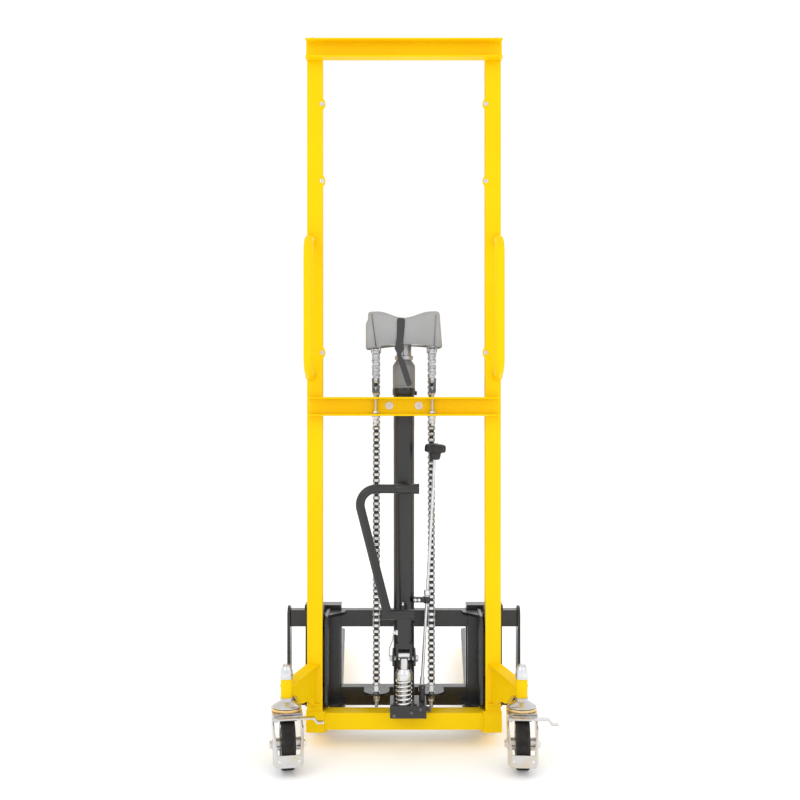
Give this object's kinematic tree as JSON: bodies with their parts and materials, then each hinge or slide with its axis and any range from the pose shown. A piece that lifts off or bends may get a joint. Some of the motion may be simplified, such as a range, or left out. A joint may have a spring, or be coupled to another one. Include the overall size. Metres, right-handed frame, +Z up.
{
  "type": "walkie stacker",
  "caption": "Manual hydraulic stacker: a yellow channel mast on straddle legs, chain-lifted fork carriage, hand pump, swivel casters and load rollers.",
  "frame": {"origin": "on the floor, on the mast's centre plane, under the rear faces of the mast uprights", "axes": "+X right as the operator stands behind the mast, +Y forward along the forks, +Z up"},
  "size_m": [0.7283, 1.4147, 1.885],
  "materials": {
    "yellow_paint": "gloss safety yellow powder coat",
    "black_paint": "satin black powder coat",
    "gland_grey": "satin mid grey",
    "cover_grey": "matt grey moulded plastic",
    "zinc": "bright zinc plate",
    "chrome_plate": "bright plate with a faint gold tint",
    "chain_steel": "oiled chain steel",
    "webbing": "woven black webbing",
    "knob_plastic": "black moulded plastic",
    "tread_rubber": "dark solid rubber tread",
    "nylon": "cast nylon"
  },
  "bodies": {
    "chassis": {"top_crossbar": "yellow_paint", "mid_crossbar": "yellow_paint", "base_crossbar": "yellow_paint", "frame_fasteners": "zinc", "cylinder_clamp": "black_paint", "cylinder_tube": "black_paint", "cylinder_gland": "gland_grey", "pump_block": "black_paint", "lever_pivot_pin": "zinc", "chain_anchors_upper": "zinc", "chain_rear": "chain_steel", "release_bracket": "black_paint", "load_roller_axles": "zinc", "caster_kingpins": "chrome_plate", "plunger_spring": "chrome_plate", "mast_upright_left": "yellow_paint", "mast_upright_right": "yellow_paint", "leg_left": "yellow_paint", "leg_right": "yellow_paint", "caster_bracket_left": "yellow_paint", "caster_bracket_right": "yellow_paint", "push_handle_left": "yellow_paint", "push_handle_right": "yellow_paint"},
    "ram": {"piston_rod": "chrome_plate", "crosshead": "black_paint", "pulley_axle": "zinc", "crosshead_cover": "cover_grey", "cover_strap": "webbing", "chain_wraps": "chain_steel", "chain_front": "chain_steel"},
    "carriage": {"carriage_upper_beam": "black_paint", "carriage_lower_beam": "black_paint", "carriage_end_plates": "black_paint", "chain_anchors_lower": "black_paint", "roller_plate_left": "black_paint", "roller_plate_right": "black_paint"},
    "lever": {"pump_lever": "black_paint", "lever_roller": "chrome_plate"},
    "plunger": {"pump_plunger": "chrome_plate"},
    "release": {"release_rod": "zinc", "release_knob": "knob_plastic"},
    "pulley_left": {"pulley_left": "chain_steel"},
    "mast_roller_lower_left": {"mast_roller_lower_left": "chain_steel"},
    "mast_roller_upper_left": {"mast_roller_upper_left": "chain_steel"},
    "fork_left": {"fork_left": "black_paint"},
    "load_roller_left": {"load_roller_left": "nylon"},
    "caster_left": {"caster_yoke_left": "chrome_plate"},
    "caster_wheel_left": {"caster_tyre_left": "tread_rubber", "caster_hub_left": "chrome_plate"},
    "brake_left": {"brake_pedal_left": "chrome_plate"},
    "pulley_right": {"pulley_right": "chain_steel"},
    "mast_roller_lower_right": {"mast_roller_lower_right": "chain_steel"},
    "mast_roller_upper_right": {"mast_roller_upper_right": "chain_steel"},
    "fork_right": {"fork_right": "black_paint"},
    "load_roller_right": {"load_roller_right": "nylon"},
    "caster_right": {"caster_yoke_right": "chrome_plate"},
    "caster_wheel_right": {"caster_tyre_right": "tread_rubber", "caster_hub_right": "chrome_plate"},
    "brake_right": {"brake_pedal_right": "chrome_plate"}
  },
  "joints": [
    {"name": "ram_lift", "type": "slide", "parent": "chassis", "child": "ram", "axis": [0, 0, 1], "range_m": [0, 0.65], "deforming": ["chain_rear"]},
    {"name": "carriage_lift", "type": "slide", "parent": "ram", "child": "carriage", "axis": [0, 0, 1], "range_m": [0, 0.65], "deforming": ["chain_front"]},
    {"name": "pump_lever_swing", "type": "hinge", "parent": "chassis", "child": "lever", "pos_m": [0, -0.015, 0.246], "axis": [1, 0, 0], "range_deg": [0, 50], "stiffness_Nm_per_rad": 12, "springref_deg": -20.05},
    {"name": "plunger_stroke", "type": "slide", "parent": "chassis", "child": "plunger", "axis": [0, 0, -1], "range_m": [0, 0.0195], "deforming": ["plunger_spring"]},
    {"name": "release_turn", "type": "hinge", "parent": "chassis", "child": "release", "pos_m": [0.048, 0.01, 0.172], "axis": [0.0565, 0, 0.9984], "range_deg": [0, 90]},
    {"name": "pulley_turn_left", "type": "hinge", "parent": "ram", "child": "pulley_left", "pos_m": [-0.075, 0.03, 1.104], "axis": [1, 0, 0], "range_deg": [-860, 0]},
    {"name": "mast_roller_lower_left_turn", "type": "hinge", "parent": "carriage", "child": "mast_roller_lower_left", "pos_m": [-0.231, 0.045, 0.145], "axis": [1, 0, 0], "range_deg": [0, 2060]},
    {"name": "mast_roller_upper_left_turn", "type": "hinge", "parent": "carriage", "child": "mast_roller_upper_left", "pos_m": [-0.231, 0.045, 0.338], "axis": [1, 0, 0], "range_deg": [-2060, 0]},
    {"name": "fork_spread_left", "type": "slide", "parent": "carriage", "child": "fork_left", "axis": [1, 0, 0], "range_m": [-0.038, 0.155]},
    {"name": "load_roller_turn_left", "type": "hinge", "parent": "chassis", "child": "load_roller_left", "pos_m": [-0.2415, 1.15, 0.037], "axis": [1, 0, 0], "continuous": true},
    {"name": "caster_swivel_left", "type": "hinge", "parent": "chassis", "child": "caster_left", "pos_m": [-0.3, -0.115, 0.14], "axis": [0, 0, 1], "continuous": true},
    {"name": "caster_wheel_turn_left", "type": "hinge", "parent": "caster_left", "child": "caster_wheel_left", "pos_m": [-0.29404, -0.14949, 0.064], "axis": [0.9854, 0.1702, 0], "continuous": true},
    {"name": "brake_press_left", "type": "hinge", "parent": "caster_left", "child": "brake_left", "pos_m": [-0.31994, -0.17578, 0.131], "axis": [-0.1702, 0.9854, 0], "range_deg": [0, 4]},
    {"name": "pulley_turn_right", "type": "hinge", "parent": "ram", "child": "pulley_right", "pos_m": [0.075, 0.03, 1.104], "axis": [1, 0, 0], "range_deg": [-860, 0]},
    {"name": "mast_roller_lower_right_turn", "type": "hinge", "parent": "carriage", "child": "mast_roller_lower_right", "pos_m": [0.231, 0.045, 0.145], "axis": [1, 0, 0], "range_deg": [0, 2060]},
    {"name": "mast_roller_upper_right_turn", "type": "hinge", "parent": "carriage", "child": "mast_roller_upper_right", "pos_m": [0.231, 0.045, 0.338], "axis": [1, 0, 0], "range_deg": [-2060, 0]},
    {"name": "fork_spread_right", "type": "slide", "parent": "carriage", "child": "fork_right", "axis": [1, 0, 0], "range_m": [-0.155, 0.038]},
    {"name": "load_roller_turn_right", "type": "hinge", "parent": "chassis", "child": "load_roller_right", "pos_m": [0.2415, 1.15, 0.037], "axis": [1, 0, 0], "continuous": true},
    {"name": "caster_swivel_right", "type": "hinge", "parent": "chassis", "child": "caster_right", "pos_m": [0.3, -0.115, 0.14], "axis": [0, 0, 1], "continuous": true},
    {"name": "caster_wheel_turn_right", "type": "hinge", "parent": "caster_right", "child": "caster_wheel_right", "pos_m": [0.29768, -0.14992, 0.064], "axis": [0.9978, -0.0663, 0], "continuous": true},
    {"name": "brake_press_right", "type": "hinge", "parent": "caster_right", "child": "brake_right", "pos_m": [0.26632, -0.16939, 0.131], "axis": [0.0663, 0.9978, 0], "range_deg": [0, 4]}
  ],
  "couplings": [
    {"joint": "carriage_lift", "follows": "ram_lift", "ratio": 1},
    {"joint": "plunger_stroke", "follows": "pump_lever_swing", "m_per_rad": 0.0219},
    {"joint": "pulley_turn_left", "follows": "ram_lift", "rad_per_m": -22.727},
    {"joint": "mast_roller_lower_left_turn", "follows": "ram_lift", "rad_per_m": 54.794},
    {"joint": "mast_roller_upper_left_turn", "follows": "ram_lift", "rad_per_m": -54.794},
    {"joint": "pulley_turn_right", "follows": "ram_lift", "rad_per_m": -22.727},
    {"joint": "mast_roller_lower_right_turn", "follows": "ram_lift", "rad_per_m": 54.794},
    {"joint": "mast_roller_upper_right_turn", "follows": "ram_lift", "rad_per_m": -54.794}
  ]
}
